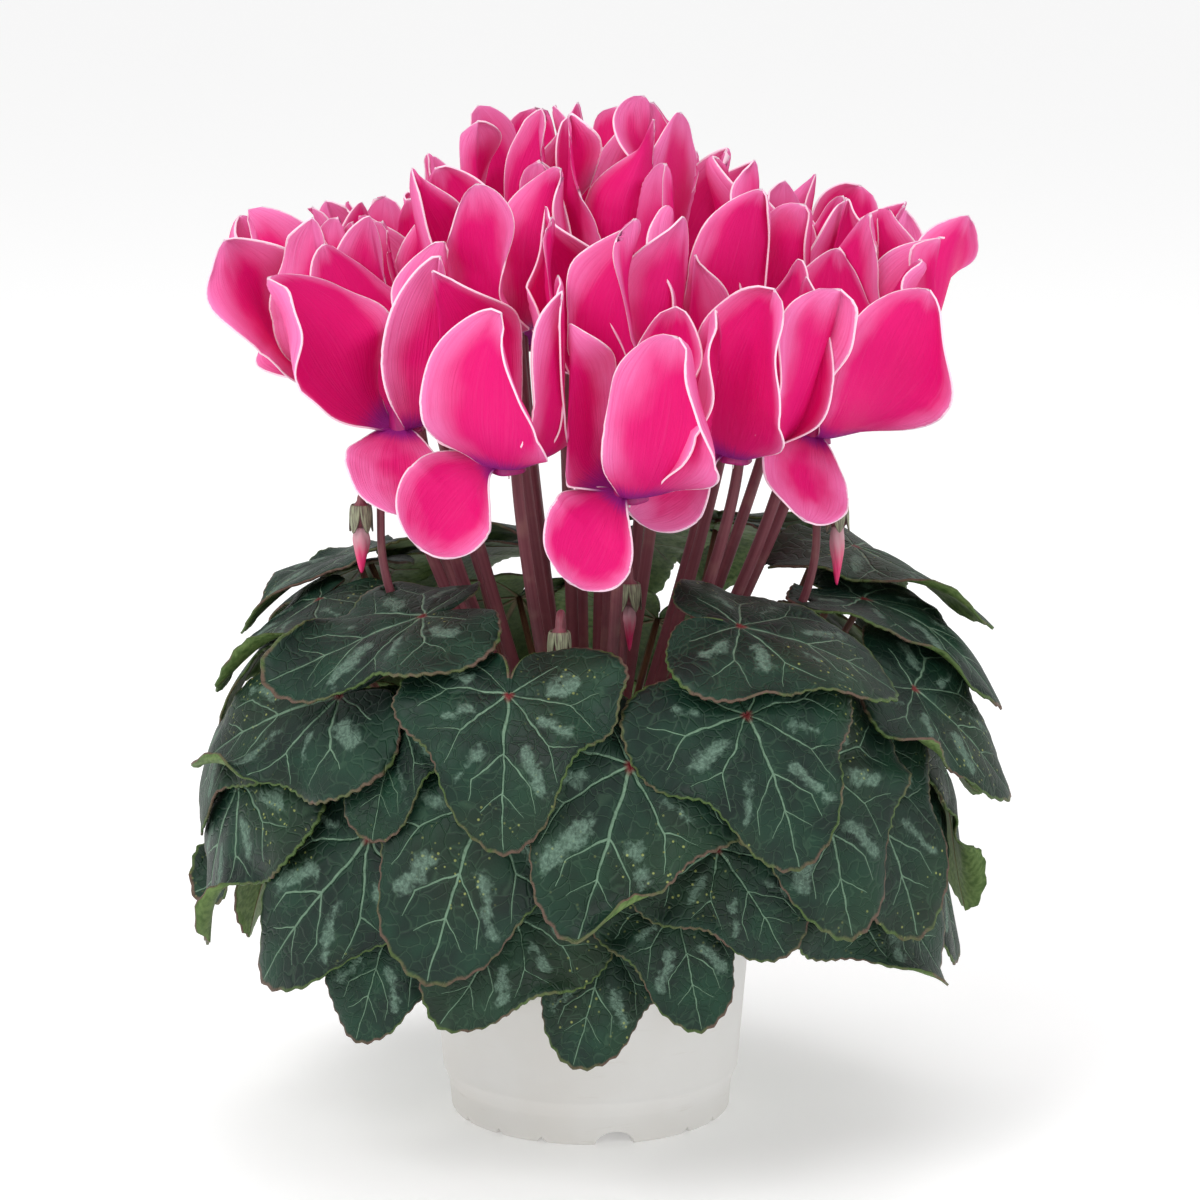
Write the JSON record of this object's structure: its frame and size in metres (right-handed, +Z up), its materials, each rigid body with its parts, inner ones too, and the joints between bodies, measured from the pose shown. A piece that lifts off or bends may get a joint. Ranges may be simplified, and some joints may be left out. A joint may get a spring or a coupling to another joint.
{
  "type": "potted cyclamen",
  "caption": "Flowering cyclamen in a plain tapered pot: a dome of swept-back blooms on bare stems over a mound of heart-shaped leaves.",
  "frame": {"origin": "on the pot's axis, on the surface that the pot stands on", "axes": "+Z up along the pot's axis; the front, with the lowest blooms and the view of the picture, faces -Y; +X is to the right in that view"},
  "size_m": [0.3017, 0.3148, 0.3868],
  "materials": {
    "pot": "satin, slightly warm white",
    "soil": "dark crumbly peat",
    "tuber": "corky brown skin",
    "stem": "matt maroon, faintly streaked",
    "petal": "vivid pink, paler to the edge, with a thin white margin",
    "bud": "furled pink petals",
    "leaf": "dark green with silver veins and patches, satin"
  },
  "bodies": {
    "root": {"bloom_01": "petal", "bloom_02": "petal", "bloom_03": "petal", "bloom_04": "petal", "bloom_05": "petal", "bloom_06": "petal", "bloom_07": "petal", "bloom_08": "petal", "bloom_09": "petal", "bloom_10": "petal", "bloom_11": "petal", "bloom_12": "petal", "bloom_13": "petal", "bloom_14": "petal", "bloom_15": "petal", "bloom_16": "petal", "bloom_17": "petal", "bloom_18": "petal", "bloom_19": "petal", "bloom_20": "petal", "bloom_21": "petal", "bloom_22": "petal", "bloom_23": "petal", "bloom_24": "petal", "bud_01": "bud", "bud_02": "bud", "bud_03": "bud", "bud_04": "bud", "flower_stems_01": "stem", "flower_stems_02": "stem", "flower_stems_03": "stem", "flower_stems_04": "stem", "flower_stems_05": "stem", "flower_stems_06": "stem", "leaves_01": "leaf", "leaves_02": "leaf", "leaves_03": "leaf", "leaves_04": "leaf", "leaves_05": "leaf", "leaves_06": "leaf", "leaves_07": "leaf", "leaves_08": "leaf", "leaves_09": "leaf", "leaves_10": "leaf", "leaves_11": "leaf", "leaves_12": "leaf", "leaves_13": "leaf", "leaves_14": "leaf", "leaves_15": "leaf", "leaves_16": "leaf", "leaves_17": "leaf", "leaves_18": "leaf", "pot": "pot", "soil": "soil", "tuber": "tuber"}
  },
  "joints": []
}
